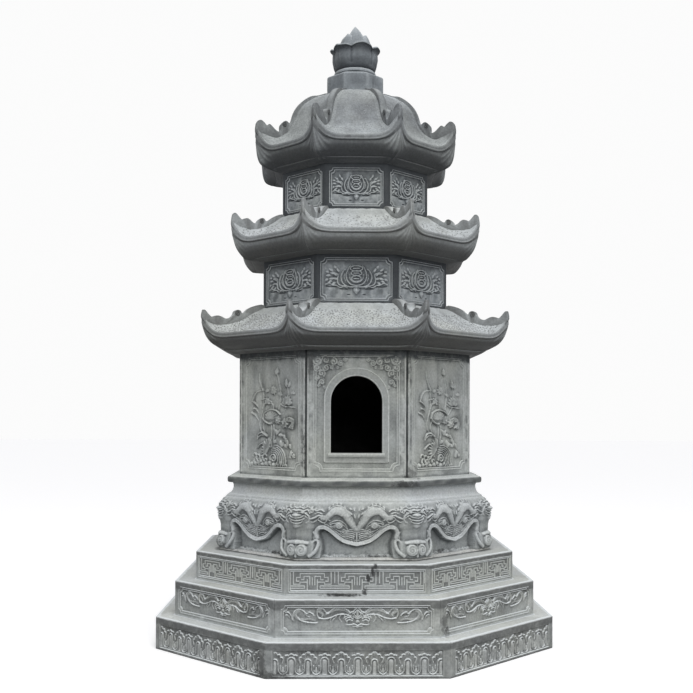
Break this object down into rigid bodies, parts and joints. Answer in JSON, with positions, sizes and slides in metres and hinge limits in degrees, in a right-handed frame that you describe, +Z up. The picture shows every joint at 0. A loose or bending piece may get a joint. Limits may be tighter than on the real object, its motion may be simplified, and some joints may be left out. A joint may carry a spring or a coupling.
{
  "type": "stone stupa",
  "caption": "Octagonal carved stone stupa with a stepped base, carved waist, arched niche, upturned roofs and a lotus finial.",
  "frame": {"origin": "centre of the bottom face of the lowest step, on the ground", "axes": "+Z up; the niche faces -Y; +X to the right as seen from the front"},
  "size_m": [2.6, 2.6, 4.279],
  "materials": {
    "step_stone": "matte",
    "core_stone": "matte",
    "mortar": "matte",
    "waist_stone": "matte",
    "body_stone": "matte",
    "roof_stone": "matte",
    "drum_stone": "matte",
    "finial_stone": "matte"
  },
  "bodies": {
    "root": {"lower_step_1": "step_stone", "lower_step_2": "step_stone", "lower_step_3": "step_stone", "lower_step_4": "step_stone", "lower_step_5": "step_stone", "lower_step_6": "step_stone", "lower_step_7": "step_stone", "lower_step_8": "step_stone", "middle_step_1": "step_stone", "middle_step_2": "step_stone", "middle_step_3": "step_stone", "middle_step_4": "step_stone", "middle_step_5": "step_stone", "middle_step_6": "step_stone", "middle_step_7": "step_stone", "middle_step_8": "step_stone", "upper_step_1": "step_stone", "upper_step_2": "step_stone", "upper_step_3": "step_stone", "upper_step_4": "step_stone", "upper_step_5": "step_stone", "upper_step_6": "step_stone", "upper_step_7": "step_stone", "upper_step_8": "step_stone", "step_core": "core_stone", "mortar_bed": "mortar", "waist": "waist_stone", "moulded_slab": "body_stone", "front_wall": "body_stone", "side_wall_1": "body_stone", "side_wall_2": "body_stone", "side_wall_3": "body_stone", "side_wall_4": "body_stone", "side_wall_5": "body_stone", "side_wall_6": "body_stone", "side_wall_7": "body_stone", "roof_1": "roof_stone", "drum_2": "drum_stone", "roof_2": "roof_stone", "drum_3": "drum_stone", "roof_3": "roof_stone", "finial_neck": "finial_stone", "lotus_bowl": "finial_stone", "lotus_bud": "finial_stone"}
  },
  "joints": []
}
